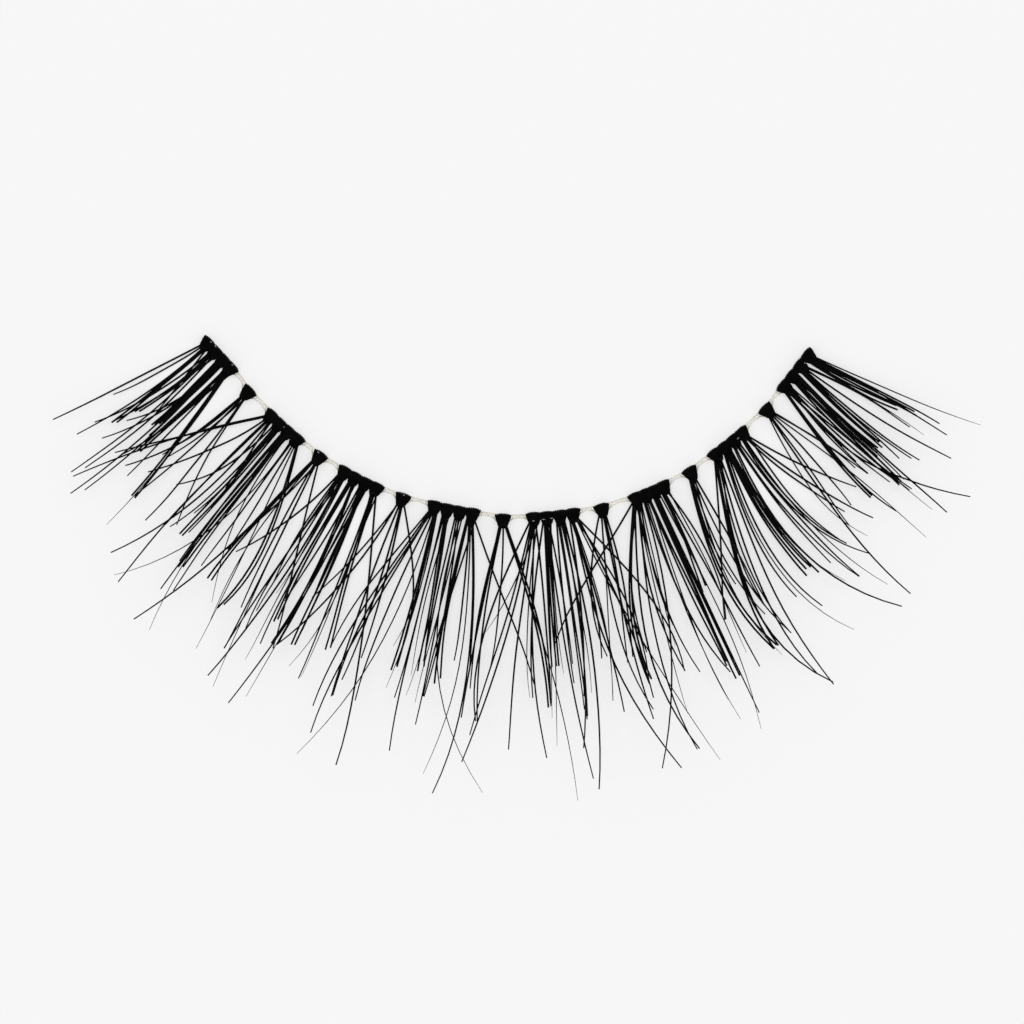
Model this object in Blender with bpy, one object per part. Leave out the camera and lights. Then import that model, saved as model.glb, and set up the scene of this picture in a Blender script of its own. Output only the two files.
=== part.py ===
"""False eyelash strip: knots of hair on two fine threads that are curved as an eyelid is.

Metres, +Z up. The strip lies on its knots, with the lashes out towards -Y and curling up. The eyelid would be
on the +Y side. The origin is under the middle of the whole strip, on the surface that it lies on.
"""
import math
from collections import namedtuple

import bmesh
import bpy
from mathutils import Vector

# The band, seen from above: two arcs from its low point, each with a straight run at its end
LEFT_RADIUS = 0.0155
LEFT_SWEEP = math.radians(47.5)
LEFT_RUN = 0.0039
RIGHT_RADIUS = 0.0151
RIGHT_SWEEP = math.radians(52.0)
RIGHT_RUN = 0.0020

# The two threads, and the walls of knot round them
BASE_THREAD_RADIUS = 0.00004
TIE_THREAD_RADIUS = 0.00003
THREAD_CLEARANCE = 0.00003
THREAD_WALL = 0.00005
THREAD_STEP = 0.0014
THREAD_END = 0.00003
THREAD_SIDES = 6

# One knot and its neck
KNOT_WIDTH = 0.00074
KNOT_PITCH = 0.00050
NECK_WIDTH = 0.00036
NECK_LENGTH = 0.00025
LOCK_BURIED = 0.00018

# The locks: a strip of 1 to 3 hairs, or under 1 for a fine hair that tapers away
LASH_LENGTH = 0.010
HAIR_WIDTH = 0.00010
LOCK_THICKNESS = 0.00009
ROOT_WIDTH_SHARE = 1.3
TIP_WIDTH_SHARE = 0.8

# Locks of neighbouring pieces lie in tiers, one above the other, so that they cross without touching
TIERS = 4
TIER_GAP = 0.00004
TIER_SKIN = 0.00004

# The lashes run out flat and then curl up along a circle, drawn in steps of which the last is never a mere sliver
CURL_START = 0.0020
CURL_RADIUS = 0.0140
CURL_STEP = 0.0028
SLIVER_SHARE = 0.03

UP = Vector((0.0, 0.0, 1.0))
HAIR_COLOUR = (0.012, 0.009, 0.008, 1.0)
THREAD_COLOUR = (0.80, 0.77, 0.68, 1.0)

# A lock is drawn on the band laid out straight. Its middle and its tip have drifted along the band from its knot,
# and it reaches out from the band, all three as shares of LASH_LENGTH. Its width is counted in hairs.
Lock = namedtuple("Lock", "middle tip reach hairs")

# A cluster stands at a share of its arm of the band, left of the low point below 0 and right of it above.
# Its knots are a share of KNOT_PITCH apart, and each holds its own locks, from left to right.
Cluster = namedtuple("Cluster", "place pitch knots")

CLUSTERS = {
    "knot_bar_1": Cluster(-0.940, 1.00, (
        (Lock(-0.110, -0.217, 0.755, 1), Lock(-0.050, -0.120, 0.480, 1), Lock(-0.030, -0.097, 0.720, 1),
         Lock(-0.005, -0.025, 0.570, 2)),
        (Lock(-0.042, -0.133, 0.625, 1), Lock(-0.007, -0.039, 0.460, 2), Lock(0.003, -0.037, 0.853, 1),
         Lock(0.022, -0.007, 0.795, 1)),
        (Lock(-0.006, -0.110, 0.650, 1), Lock(0.002, 0.005, 0.445, 3), Lock(0.012, -0.018, 0.920, 1),
         Lock(0.027, 0.011, 0.863, 1)),
        (Lock(0.005, -0.070, 0.650, 1), Lock(0.000, -0.003, 0.570, 2), Lock(0.028, 0.041, 0.680, 1),
         Lock(0.075, 0.133, 0.725, 2)),
    )),
    "single_knot_1": Cluster(-0.815, 1.00, (
        (Lock(-0.022, -0.130, 0.655, 1), Lock(-0.020, -0.050, 0.500, 1), Lock(0.013, -0.002, 0.720, 1),
         Lock(0.070, 0.102, 0.755, 1), Lock(0.085, 0.180, 0.670, 1)),
    )),
    "knot_bar_2": Cluster(-0.681, 1.02, (
        (Lock(-0.240, -0.400, 0.860, 1), Lock(-0.190, -0.350, 0.650, 1), Lock(-0.065, -0.188, 0.600, 1),
         Lock(0.000, 0.022, 1.034, 1), Lock(0.018, -0.046, 0.966, 1)),
        (Lock(-0.030, -0.110, 0.545, 1), Lock(0.000, -0.030, 0.696, 1), Lock(0.006, 0.010, 0.690, 2)),
        (Lock(-0.005, 0.020, 0.930, 1), Lock(0.015, 0.025, 0.804, 2), Lock(0.022, 0.043, 0.900, 1),
         Lock(0.045, 0.160, 0.840, 0.6)),
        (Lock(-0.020, -0.149, 1.026, 0.6), Lock(0.009, 0.023, 0.735, 1), Lock(0.034, 0.055, 0.604, 1),
         Lock(0.097, 0.147, 1.048, 0.6), Lock(0.130, 0.137, 0.844, 2)),
    )),
    "single_knot_2": Cluster(-0.560, 1.00, (
        (Lock(-0.072, -0.154, 1.110, 1), Lock(-0.050, -0.060, 0.762, 2), Lock(-0.026, 0.008, 0.905, 0.6),
         Lock(0.028, 0.066, 0.784, 1), Lock(0.056, 0.086, 0.978, 1), Lock(0.063, 0.115, 1.150, 0.6),
         Lock(0.128, 0.204, 0.872, 1)),
    )),
    "knot_bar_3": Cluster(-0.435, 1.04, (
        (Lock(-0.080, -0.180, 0.590, 1), Lock(-0.040, -0.023, 0.620, 1), Lock(-0.033, -0.047, 0.978, 1),
         Lock(-0.015, -0.022, 0.760, 1), Lock(-0.003, -0.047, 1.120, 1)),
        (Lock(-0.022, -0.022, 0.880, 1), Lock(-0.018, -0.010, 0.764, 2), Lock(0.030, 0.020, 0.855, 2)),
        (Lock(-0.020, -0.022, 0.840, 1), Lock(-0.017, -0.067, 1.180, 1), Lock(0.015, 0.019, 0.820, 2),
         Lock(0.021, 0.025, 0.740, 1)),
        (Lock(0.030, -0.020, 0.912, 0.6), Lock(0.017, 0.016, 0.945, 1), Lock(0.032, 0.062, 0.780, 2),
         Lock(0.148, 0.187, 1.250, 1)),
    )),
    "single_knot_3": Cluster(-0.313, 1.00, (
        (Lock(-0.090, -0.205, 0.850, 1), Lock(-0.085, -0.170, 0.590, 1), Lock(-0.013, 0.000, 0.966, 1),
         Lock(0.022, 0.008, 0.880, 1), Lock(0.037, 0.042, 0.760, 1), Lock(0.140, 0.150, 0.750, 1)),
    )),
    "knot_bar_4": Cluster(-0.174, 1.14, (
        (Lock(-0.150, -0.205, 0.750, 1), Lock(-0.150, -0.188, 1.034, 1), Lock(-0.140, -0.169, 1.150, 1),
         Lock(-0.070, -0.082, 0.950, 0.6), Lock(-0.063, -0.182, 1.260, 0.6), Lock(-0.003, -0.002, 0.775, 2)),
        (Lock(-0.030, -0.037, 0.892, 1), Lock(-0.023, -0.016, 1.127, 1), Lock(0.012, 0.023, 0.753, 2),
         Lock(0.017, -0.005, 0.870, 0.6)),
        (Lock(-0.017, -0.034, 0.705, 1), Lock(0.002, -0.022, 0.990, 1), Lock(0.018, -0.010, 0.860, 1),
         Lock(0.002, 0.170, 1.257, 0.6)),
        (Lock(-0.037, -0.040, 0.795, 2), Lock(0.010, 0.003, 0.680, 1), Lock(0.025, -0.033, 1.200, 0.6),
         Lock(0.050, -0.007, 1.280, 1), Lock(0.043, 0.055, 0.730, 1), Lock(0.175, 0.255, 0.770, 1)),
    )),
    "single_knot_4": Cluster(-0.041, 1.00, (
        (Lock(-0.070, -0.092, 0.930, 0.6), Lock(-0.070, -0.077, 0.797, 1), Lock(-0.059, -0.045, 0.950, 1),
         Lock(0.000, -0.021, 0.700, 1), Lock(0.110, 0.159, 0.875, 2), Lock(0.168, 0.212, 1.300, 0.6)),
    )),
    "knot_bar_5": Cluster(0.099, 1.16, (
        (Lock(-0.182, -0.187, 0.940, 1), Lock(-0.117, -0.202, 1.005, 1), Lock(-0.107, -0.217, 1.127, 1),
         Lock(-0.067, -0.102, 1.060, 1), Lock(-0.026, -0.001, 1.100, 1), Lock(0.018, 0.020, 0.870, 1)),
        (Lock(-0.065, -0.085, 0.830, 1), Lock(-0.017, -0.030, 0.924, 0.6), Lock(-0.010, -0.009, 0.695, 3),
         Lock(0.025, 0.060, 1.210, 1)),
        (Lock(-0.020, -0.018, 0.777, 1), Lock(0.013, 0.010, 0.944, 1), Lock(0.030, 0.029, 0.830, 0.6)),
        (Lock(-0.025, -0.053, 0.840, 1), Lock(-0.017, -0.048, 1.260, 1), Lock(0.027, 0.017, 0.684, 1),
         Lock(0.037, 0.051, 0.937, 1), Lock(0.043, 0.161, 1.240, 1), Lock(0.113, 0.140, 0.840, 1),
         Lock(0.150, 0.262, 1.258, 0.6), Lock(0.195, 0.248, 0.830, 1)),
    )),
    "single_knot_5": Cluster(0.237, 1.00, (
        (Lock(-0.104, -0.095, 0.680, 1), Lock(-0.059, -0.104, 0.880, 0.6), Lock(-0.047, 0.005, 0.956, 1),
         Lock(-0.014, -0.003, 0.997, 1), Lock(-0.010, -0.038, 0.725, 1), Lock(0.011, 0.028, 0.705, 1)),
    )),
    "knot_bar_6": Cluster(0.380, 0.86, (
        (Lock(-0.267, -0.412, 0.590, 0.6), Lock(-0.135, -0.147, 0.840, 2), Lock(-0.112, -0.072, 1.180, 1),
         Lock(-0.057, -0.069, 1.016, 0.6), Lock(-0.027, -0.002, 0.857, 1)),
        (Lock(-0.082, -0.215, 1.220, 1), Lock(-0.025, 0.035, 0.907, 1), Lock(-0.017, 0.013, 1.120, 0.6),
         Lock(0.020, 0.035, 0.875, 2)),
        (Lock(-0.003, 0.000, 0.870, 1), Lock(0.002, 0.010, 0.944, 2), Lock(0.012, 0.020, 1.125, 1),
         Lock(0.022, 0.010, 1.195, 0.6)),
        (Lock(-0.005, -0.020, 0.530, 2), Lock(0.022, 0.032, 0.940, 1), Lock(0.043, 0.002, 0.685, 1)),
    )),
    "single_knot_6": Cluster(0.508, 1.00, (
        (Lock(-0.080, -0.041, 0.897, 2), Lock(-0.055, -0.058, 0.563, 1), Lock(-0.048, -0.021, 0.744, 1),
         Lock(-0.023, 0.017, 0.875, 1), Lock(0.002, -0.008, 0.710, 1)),
    )),
    "knot_bar_7": Cluster(0.643, 1.00, (
        (Lock(-0.155, -0.273, 0.685, 1), Lock(-0.147, -0.178, 0.900, 2), Lock(-0.167, -0.083, 1.160, 1),
         Lock(-0.120, -0.120, 0.875, 1), Lock(-0.122, -0.115, 1.090, 1), Lock(-0.097, -0.098, 1.170, 1)),
        (Lock(-0.107, -0.106, 0.752, 1), Lock(-0.103, -0.024, 1.020, 0.6), Lock(-0.095, -0.060, 0.850, 1),
         Lock(-0.045, -0.033, 0.700, 2)),
        (Lock(-0.062, -0.006, 0.824, 0.6), Lock(-0.044, 0.066, 1.074, 1), Lock(-0.018, -0.007, 0.720, 1),
         Lock(-0.013, 0.036, 0.848, 1)),
        (Lock(-0.037, 0.047, 0.800, 1), Lock(-0.025, 0.029, 0.960, 0.6), Lock(0.033, 0.087, 0.590, 1),
         Lock(0.060, 0.135, 0.700, 1), Lock(0.085, 0.169, 0.550, 1)),
    )),
    "single_knot_7": Cluster(0.787, 1.00, (
        (Lock(-0.090, -0.073, 0.740, 0.6), Lock(-0.085, -0.096, 1.058, 1), Lock(-0.050, -0.085, 0.650, 1),
         Lock(-0.013, -0.040, 0.590, 1), Lock(0.040, 0.045, 0.934, 0.6), Lock(0.053, 0.075, 0.550, 1)),
    )),
    "knot_bar_8": Cluster(0.926, 1.16, (
        (Lock(-0.077, -0.105, 0.630, 2), Lock(-0.083, -0.087, 0.756, 1), Lock(-0.028, -0.050, 0.475, 1),
         Lock(-0.022, -0.035, 0.650, 1), Lock(-0.008, -0.005, 0.745, 1), Lock(-0.023, 0.119, 0.972, 1)),
        (Lock(-0.023, -0.055, 0.690, 1), Lock(-0.025, -0.059, 0.933, 1), Lock(-0.021, -0.036, 0.535, 3)),
        (Lock(-0.038, -0.058, 0.527, 2), Lock(-0.027, -0.055, 0.617, 1), Lock(-0.022, -0.023, 0.660, 1),
         Lock(-0.013, -0.005, 0.693, 1), Lock(0.035, 0.087, 0.800, 1), Lock(0.063, 0.090, 0.568, 1)),
        (Lock(0.017, 0.063, 0.477, 2), Lock(0.035, 0.088, 0.560, 2), Lock(0.063, 0.104, 0.720, 1),
         Lock(0.065, 0.123, 0.663, 1), Lock(0.110, 0.230, 0.813, 0.6)),
    )),
}

# Worked out from the sizes above: the places of the threads, the knots' shoulders and the lock roots
LEFT_ARM = LEFT_RADIUS * LEFT_SWEEP + LEFT_RUN
RIGHT_ARM = RIGHT_RADIUS * RIGHT_SWEEP + RIGHT_RUN
BASE_CHANNEL_RADIUS = BASE_THREAD_RADIUS + THREAD_CLEARANCE
TIE_CHANNEL_RADIUS = TIE_THREAD_RADIUS + THREAD_CLEARANCE
TIE_THREAD_OUT = BASE_CHANNEL_RADIUS + THREAD_WALL + TIE_CHANNEL_RADIUS
KNOT_BACK = BASE_CHANNEL_RADIUS + THREAD_WALL
SHOULDER_OUT = TIE_THREAD_OUT + TIE_CHANNEL_RADIUS + THREAD_WALL
NECK_OUT = SHOULDER_OUT + NECK_LENGTH
LOCK_ROOT_OUT = NECK_OUT - LOCK_BURIED
TIER_PITCH = LOCK_THICKNESS + TIER_GAP
KNOT_HEIGHT = TIERS * LOCK_THICKNESS + (TIERS - 1) * TIER_GAP + 2 * TIER_SKIN
THREAD_HEIGHT = KNOT_HEIGHT / 2


def clear_scene():
    """Remove the objects that the file opened with."""
    for thing in list(bpy.data.objects):
        bpy.data.objects.remove(thing, do_unlink=True)


def principled(name, colour, roughness):
    """A plain Principled material."""
    material = bpy.data.materials.new(name)
    material.use_nodes = True
    shader = material.node_tree.nodes["Principled BSDF"]
    shader.inputs["Base Color"].default_value = colour
    shader.inputs["Roughness"].default_value = roughness
    shader.inputs["Metallic"].default_value = 0.0
    material.diffuse_color = colour
    return material


def arm_point(distance, radius, sweep):
    """Where a distance along one arm of the band comes to, and the band's heading there."""
    heading = min(distance, radius * sweep) / radius
    over = max(distance - radius * sweep, 0.0)
    x = radius * math.sin(heading) + over * math.cos(heading)
    y = radius * (1.0 - math.cos(heading)) + over * math.sin(heading)
    return x, y, heading


def band_point(along, out, height):
    """A point at a distance along the band from its low point, out from it towards the tips, and up."""
    if along < 0.0:
        x, y, heading = arm_point(-along, LEFT_RADIUS, LEFT_SWEEP)
        x, heading = -x, -heading
    else:
        x, y, heading = arm_point(along, RIGHT_RADIUS, RIGHT_SWEEP)
    return Vector((x + out * math.sin(heading), y - out * math.cos(heading), height))


def curl(out):
    """How high the lashes have curled at a distance from the band, in straight steps that all locks share."""
    def circle(distance):
        along = max(distance - CURL_START, 0.0)
        return CURL_RADIUS - math.sqrt(CURL_RADIUS ** 2 - min(along, CURL_RADIUS) ** 2)

    step = math.floor(out / CURL_STEP)
    share = out / CURL_STEP - step
    return circle(step * CURL_STEP) * (1.0 - share) + circle((step + 1) * CURL_STEP) * share


def knot_places(cluster):
    """Where the knots of a cluster stand, along the band from its low point."""
    arm = LEFT_ARM if cluster.place < 0.0 else RIGHT_ARM
    pitch = cluster.pitch * KNOT_PITCH
    first = cluster.place * arm - pitch * (len(cluster.knots) - 1) / 2
    return [first + pitch * number for number in range(len(cluster.knots))]


def add_loft(shape, sections):
    """Add one closed solid through sections of the same number of points, capped at both ends."""
    rings = [[shape.verts.new(point) for point in section] for section in sections]
    for near, far in zip(rings, rings[1:]):
        for number in range(len(near)):
            after = (number + 1) % len(near)
            shape.faces.new((near[number], near[after], far[after], far[number]))
    shape.faces.new(reversed(rings[0]))
    shape.faces.new(rings[-1])


def new_object(name, shape, material, frame):
    """Make an object of a finished shape, with its faces pointing out."""
    bmesh.ops.recalc_face_normals(shape, faces=shape.faces)
    mesh = bpy.data.meshes.new(name)
    shape.to_mesh(mesh)
    shape.free()
    mesh.materials.append(material)
    thing = bpy.data.objects.new(name, mesh)
    thing.parent = frame
    bpy.context.scene.collection.objects.link(thing)
    return thing


def thread_places(start, end):
    """Places along the band at even steps, from one end of the threads to the other."""
    count = math.ceil((end - start) / THREAD_STEP)
    return [start + (end - start) * number / count for number in range(count + 1)]


def tube(name, radius, out, places, material, frame):
    """A round thread, or the channel for one, beside the band's line through places along it."""
    centres = [band_point(along, out, THREAD_HEIGHT) for along in places]
    shape = bmesh.new()
    sections = []
    for number, centre in enumerate(centres):
        run = centres[min(number + 1, len(centres) - 1)] - centres[max(number - 1, 0)]
        side = run.cross(UP).normalized()
        section = []
        for corner in range(THREAD_SIDES):
            turn = math.tau * corner / THREAD_SIDES
            section.append(centre + radius * (side * math.cos(turn) + UP * math.sin(turn)))
        sections.append(section)
    add_loft(shape, sections)
    return new_object(name, shape, material, frame)


def add_knot(shape, along, tier_height):
    """Add one knot: a lump with a flat foot, full as far as its shoulder, and its neck at its locks' height."""
    neck_half = LOCK_THICKNESS / 2 + TIER_SKIN
    # Each row: how far out, how wide, foot, top
    profile = (
        (-KNOT_BACK, 0.94 * KNOT_WIDTH, 0.0, 0.80 * KNOT_HEIGHT),
        (0.0, KNOT_WIDTH, 0.0, KNOT_HEIGHT),
        (SHOULDER_OUT, 0.80 * KNOT_WIDTH, 0.0, KNOT_HEIGHT),
        (NECK_OUT, NECK_WIDTH, tier_height - neck_half, tier_height + neck_half),
    )
    sections = []
    for out, width, foot, top in profile:
        waist = (foot + top) / 2
        outline = ((-0.42, foot), (0.42, foot), (0.5, waist), (0.36, top), (-0.36, top), (-0.5, waist))
        sections.append([band_point(along + share * width, out, height) for share, height in outline])
    add_loft(shape, sections)


def add_lock(shape, knot_along, side_step, lock, tier_height, thickness):
    """Add one lock: a three-sided strip that leaves its knot's neck, drifts along the band and curls up."""
    reach = lock.reach * LASH_LENGTH
    stations = [LOCK_ROOT_OUT]
    stations += [step * CURL_STEP for step in range(1, math.ceil(reach / CURL_STEP - SLIVER_SHARE))]
    stations.append(reach)
    path = []
    for out in stations:
        share = (out - LOCK_ROOT_OUT) / (reach - LOCK_ROOT_OUT)
        drift = (4 * lock.middle - lock.tip) * share + (2 * lock.tip - 4 * lock.middle) * share ** 2
        along = knot_along + side_step * (1.0 - share) ** 2 + drift * LASH_LENGTH
        path.append((share, band_point(along, out, tier_height + curl(out))))
    sections = []
    for number, (share, centre) in enumerate(path):
        run = path[min(number + 1, len(path) - 1)][1] - path[max(number - 1, 0)][1]
        across = run.cross(UP).normalized()
        spread = ROOT_WIDTH_SHARE + (TIP_WIDTH_SHARE - ROOT_WIDTH_SHARE) * share
        half = across * lock.hairs * HAIR_WIDTH * spread / 2
        lift = UP * thickness / 2
        sections.append([centre - half - lift, centre + half - lift, centre + lift])
    add_loft(shape, sections)


def cut(thing, cutter, merge_own_shells):
    """Cut a channel through an object, first joining the shells that it is drawn as into one solid."""
    modifier = thing.modifiers.new(cutter.name, "BOOLEAN")
    modifier.operation = "DIFFERENCE"
    modifier.solver = "EXACT"
    modifier.use_self = merge_own_shells
    modifier.object = cutter


def hair_piece(name, cluster, tier, channels, material, frame):
    """A row of knots, or a single one, with its locks fused to it and the two threads' channels through it."""
    tier_height = TIER_SKIN + LOCK_THICKNESS / 2 + tier * TIER_PITCH
    shape = bmesh.new()
    lock_total = sum(len(locks) for locks in cluster.knots)
    lock_number = 0
    for along, locks in zip(knot_places(cluster), cluster.knots):
        add_knot(shape, along, tier_height)
        for order, lock in enumerate(locks):
            side_step = NECK_WIDTH * 0.6 * ((order + 0.5) / len(locks) - 0.5)
            thickness = LOCK_THICKNESS * (1.0 - 0.4 * lock_number / lock_total)
            add_lock(shape, along, side_step, lock, tier_height, thickness)
            lock_number += 1
    thing = new_object(name, shape, material, frame)
    for number, channel in enumerate(channels):
        cut(thing, channel, merge_own_shells=number == 0)
    return thing


def stand_on_origin(frame, things):
    """Move the frame so that the origin is under the middle of the strip, on the surface that it lies on."""
    bpy.context.view_layer.update()
    depsgraph = bpy.context.evaluated_depsgraph_get()
    corners = []
    for thing in things:
        corners += [thing.matrix_world @ Vector(corner) for corner in thing.evaluated_get(depsgraph).bound_box]
    low = [min(corner[axis] for corner in corners) for axis in range(3)]
    high = [max(corner[axis] for corner in corners) for axis in range(3)]
    frame.location = (-(low[0] + high[0]) / 2, -(low[1] + high[1]) / 2, -low[2])


def main():
    clear_scene()
    hair = principled("black_hair", HAIR_COLOUR, 0.45)
    clear_thread = principled("clear_thread", THREAD_COLOUR, 0.30)
    frame = bpy.data.objects.new("strip_frame", None)
    bpy.context.scene.collection.objects.link(frame)

    knots = [along for cluster in CLUSTERS.values() for along in knot_places(cluster)]
    end_reach = KNOT_WIDTH / 2 + THREAD_END
    places = thread_places(min(knots) - end_reach, max(knots) + end_reach)
    base_thread = tube("base_thread", BASE_THREAD_RADIUS, 0.0, places, clear_thread, frame)
    tie_thread = tube("tie_thread", TIE_THREAD_RADIUS, TIE_THREAD_OUT, places, clear_thread, frame)
    for thread in (base_thread, tie_thread):
        thread.data.shade_smooth()

    past_ends = [places[0] - KNOT_WIDTH] + places + [places[-1] + KNOT_WIDTH]
    channels = [
        tube("base_channel", BASE_CHANNEL_RADIUS, 0.0, past_ends, clear_thread, frame),
        tube("tie_channel", TIE_CHANNEL_RADIUS, TIE_THREAD_OUT, past_ends, clear_thread, frame),
    ]
    for channel in channels:
        channel.hide_render = True
        channel.display_type = "WIRE"

    things = [base_thread, tie_thread]
    for number, (name, cluster) in enumerate(CLUSTERS.items()):
        things.append(hair_piece(name, cluster, number % TIERS, channels, hair, frame))
    stand_on_origin(frame, things)


main()
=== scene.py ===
"""Dresses the false eyelash strip: single hairs, wound knots, two clear threads, and glue specks painted
white as glints.

Everything is in metres in the strip's own frame. The band curves round the +Y side and the lashes
point to -Y.
"""

import math
import random
from collections import namedtuple

import bmesh
import bpy
from mathutils import Matrix, Vector


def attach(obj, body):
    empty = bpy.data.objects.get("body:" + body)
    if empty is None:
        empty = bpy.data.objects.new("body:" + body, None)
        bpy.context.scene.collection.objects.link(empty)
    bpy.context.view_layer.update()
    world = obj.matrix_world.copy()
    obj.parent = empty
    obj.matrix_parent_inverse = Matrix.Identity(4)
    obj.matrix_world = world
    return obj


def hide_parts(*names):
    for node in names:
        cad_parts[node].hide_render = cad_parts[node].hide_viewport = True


bl_info = {
    "name": "False eyelash strip",
    "version": (1, 0, 0),
    "blender": (4, 5, 0),
    "location": "View3D > Sidebar > Lashes",
    "description": "Makes the hairs, knots and threads of a false eyelash strip round its solids",
    "category": "Object",
}

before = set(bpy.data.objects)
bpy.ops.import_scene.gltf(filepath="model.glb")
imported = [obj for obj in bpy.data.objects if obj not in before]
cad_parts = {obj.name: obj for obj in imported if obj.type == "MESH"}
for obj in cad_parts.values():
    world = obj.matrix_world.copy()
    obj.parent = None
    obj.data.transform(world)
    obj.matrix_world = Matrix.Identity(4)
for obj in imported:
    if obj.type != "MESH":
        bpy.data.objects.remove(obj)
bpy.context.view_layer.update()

# The band's low point in the strip's frame, and the two arms that run from it
BAND_LOW_POINT = Vector((0.0000795, 0.0024113, 0.0))
LEFT_RADIUS = 0.0155
LEFT_SWEEP = math.radians(47.5)
LEFT_RUN = 0.0039
RIGHT_RADIUS = 0.0151
RIGHT_SWEEP = math.radians(52.0)
RIGHT_RUN = 0.0020
LEFT_ARM = LEFT_RADIUS * LEFT_SWEEP + LEFT_RUN
RIGHT_ARM = RIGHT_RADIUS * RIGHT_SWEEP + RIGHT_RUN

# The knots' height, and how far they reach back from the band's line and out to their necks' ends
KNOT_HEIGHT = 0.00056
KNOT_BACK = 0.00012
NECK_OUT = 0.00054

# How a knot's loops are bent: how much the outer ones give way at the back corners, how much their
# circle is squared off outwards and upwards, how much lower the outer ones are, how flat the neck is,
# and how unevenly they all lie
KNOT_ROUNDING = 0.00006
SQUARED_OUT = 0.6
SQUARED_UP = 0.7
OUTER_LOWERING = 1.2
NECK_FLATTENING = 0.85
UNEVENNESS = 0.00004
UNEVENNESS_SCALE = 3500.0

# The heart of a knot: rings from back to front, points round each, how late it draws in to the
# neck, how much its outline is squared off, how flat the neck is, and its back end's size
CORE_RINGS = 7
CORE_SIDES = 12
CORE_LATENESS = 1.8
CORE_SQUARED = 0.7
CORE_FLATTENING = 0.75
CORE_END_WIDTH = 0.9
CORE_END_HEIGHT = 0.8

# The two bindings of a neck: how far out they are, and their share of the neck's lift. Then how
# each is wound: where it starts in radians, its slant and sinking in hair widths, and its ends.
BINDINGS = ((0.00043, 0.90), (0.00050, 1.0))
BINDING_POINTS = 13
BINDING_THICKNESS = 0.7
BINDING_START = 0.3
BINDING_SLANT = 0.6
BINDING_SINK = 0.4
BINDING_END_WIDTH = 1.2

# The threads: how far past the end knots they run, their points, and how far aside and in how many
# radians to the metre they sway
THREAD_END = 0.00003
THREAD_POINTS = 160
THREAD_SWAY = 0.000006
SWAY_RADIANS = 2600.0

# The tie thread lies further out than the base thread inside a cluster, and comes nearer within a
# short way beside it. It makes a turn at each side of a cluster: points by their distance from the
# end knot, out from the knots' line, and up.
TIE_THREAD_OUT = 0.00018
TIE_THREAD_BETWEEN = 0.00009
TIE_THREAD_SHIFT = 0.0003
TIE_TURN = (
    (0.00044, 0.00006, 0.00029), (0.00042, 0.00010, 0.00033), (0.00038, 0.00015, 0.00035),
    (0.00032, 0.00021, 0.00034), (0.00026, 0.00028, 0.00031), (0.00014, 0.00035, 0.00028),
)
TIE_TURN_THICKNESS = 0.8

# The clusters lie in tiers: each has its necks a step higher than the one before, and after four of
# them it starts again from the foot
TIERS = 4
TIER_FOOT = 0.000085
TIER_PITCH = 0.00013

# How far out the hairs start, inside the neck, and how much of the root spread a single knot takes up
ROOT_OUT = 0.00036
SINGLE_KNOT_SPREAD = 0.65

# How the hairs differ: their share of the full curl, how far they wave aside, how many radians of a
# wave each has, and how far up or down they start as a share of their width
CURL_SHARE = (0.90, 1.0)
HAIR_WAVE = 0.00004
WAVE_LENGTH = 7.0
ROOT_RISE = 0.35

# How the hairs of one lock come apart: their steps aside at the root, middle and tip in hair widths,
# and how much shorter the later ones can be, as a share of the lash length
ROOT_STEP = 0.6
MIDDLE_STEP = 0.75
TIP_STEP = (0.7, 1.8)
SHORTER = 0.03

# How thick a hair is at its root, at its middle and near its tip, as shares of the hair width, and
# how much the hairs' own widths differ
BLUNT_TAPER = (1.00, 1.00, 0.90)
PLAIN_TAPER = (1.00, 0.95, 0.62)
FINE_TAPER = (0.82, 0.64, 0.20)
BLUNT_WIDTHS = (1.0, 1.12)
PLAIN_WIDTHS = (0.92, 1.08)

# The camera looks straight down. How much of the floor it takes in, and round which point
CAMERA_HEIGHT = 1.5
PICTURE_WIDTH = 0.04608
PICTURE_MIDDLE = (-0.00021, 0.002475)

# The stage: a soft sky, a wide floor with a glow of its own, and one wide lamp
SKY_STRENGTH = 0.30
FLOOR_HALF = 5.0
FLOOR_GLOW = 0.55
LAMP_SIZE = 2.4
LAMP_POWER = 18.0
LAMP_PLACE = (0.0, 0.5, 3.2)

# Specks of glue painted white as highlights, standing in for glints on the knots: their cluster and knot, how
# far along from it as a share of the knot pitch, how far out from the band, and their length. They lie on top
# of the knots.
PAINTED_GLINT_SPECKS = (
    ("knot_bar_1", 1, 0.10, 0.00000, 0.00009), ("knot_bar_1", 2, -0.35, -0.00002, 0.00010),
    ("knot_bar_1", 4, -0.10, -0.00001, 0.00007), ("knot_bar_2", 2, 0.45, 0.00012, 0.00009),
    ("single_knot_2", 1, -0.30, 0.00001, 0.00010), ("single_knot_3", 1, 0.02, 0.00000, 0.00008),
    ("knot_bar_5", 1, -0.05, 0.00030, 0.00012), ("knot_bar_5", 2, -0.30, 0.00026, 0.00015),
    ("knot_bar_5", 2, 0.35, 0.00024, 0.00020), ("knot_bar_7", 3, 0.45, 0.00022, 0.00012),
    ("knot_bar_8", 3, 0.42, 0.00024, 0.00012),
)
SPECK_WIDTH = 0.00005
SPECK_HEIGHT = 0.00050
SPECK_UNEVENNESS = (0.8, 1.2)

# A lock is drawn on the band laid out straight. Its middle and its tip have drifted along the band
# from its knot, and it reaches out from the band, all three as shares of the lash length. It is one
# hair, or 2 or 3 that lie together, or 0.6 for one fine hair that tapers away.
Lock = namedtuple("Lock", "middle tip reach hairs", defaults=(1,))

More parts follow.
